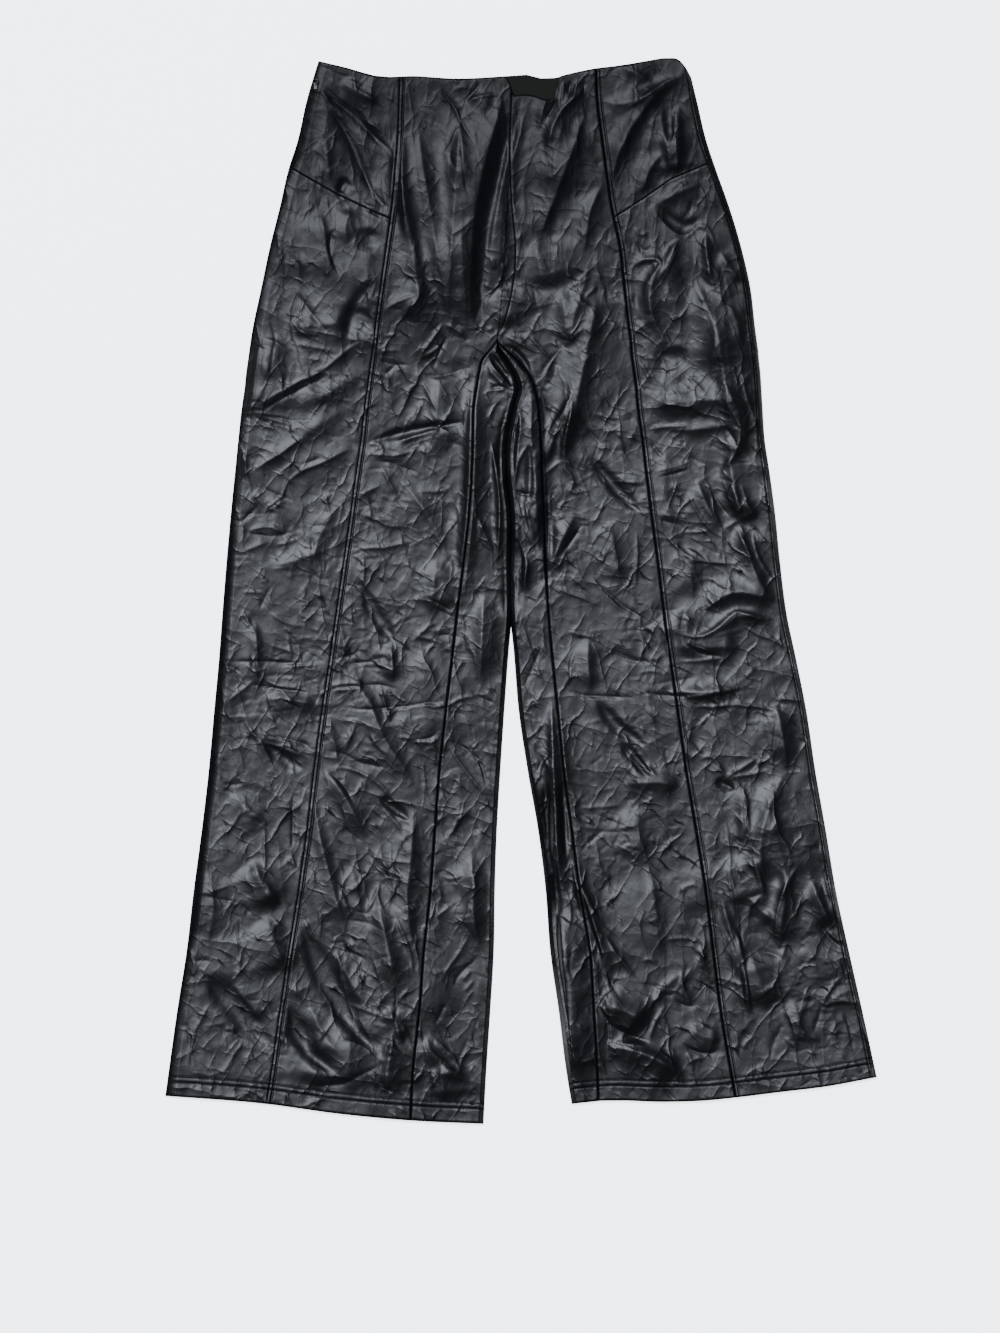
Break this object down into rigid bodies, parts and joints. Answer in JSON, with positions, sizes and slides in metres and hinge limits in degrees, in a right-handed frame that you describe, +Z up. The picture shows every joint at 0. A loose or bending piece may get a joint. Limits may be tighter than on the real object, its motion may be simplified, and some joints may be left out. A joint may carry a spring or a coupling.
{
  "type": "leather trousers",
  "caption": "Wide-leg, high-waist trousers of black coated imitation leather with hip yokes, front princess seams and a concealed side zip, laid flat front side up.",
  "frame": {"origin": "middle of the box that holds the garment, on the surface that it lies on", "axes": "+Y from the hems to the waist, +X to the wearer's left, +Z up out of the front"},
  "size_m": [0.7116, 1.066, 0.0112],
  "materials": {
    "coated_cloth": "black polyurethane-coated cloth, crumpled, half gloss",
    "zip_tape": "black woven tape and nylon coil",
    "nickel": "dark nickel plate"
  },
  "bodies": {
    "garment": {"front_yoke_right": "coated_cloth", "front_side_right": "coated_cloth", "front_centre_right": "coated_cloth", "back_right": "coated_cloth", "front_yoke_left": "coated_cloth", "front_side_left": "coated_cloth", "front_centre_left": "coated_cloth", "back_left": "coated_cloth", "side_zip_chain": "zip_tape", "zip_slider": "nickel"},
    "pull": {"zip_pull": "nickel"}
  },
  "joints": [
    {"name": "pull_flip", "type": "hinge", "parent": "garment", "child": "pull", "pos_m": [-0.2055, 0.5069, 0.00948], "axis": [1, 0, 0], "range_deg": [0, 190]}
  ]
}
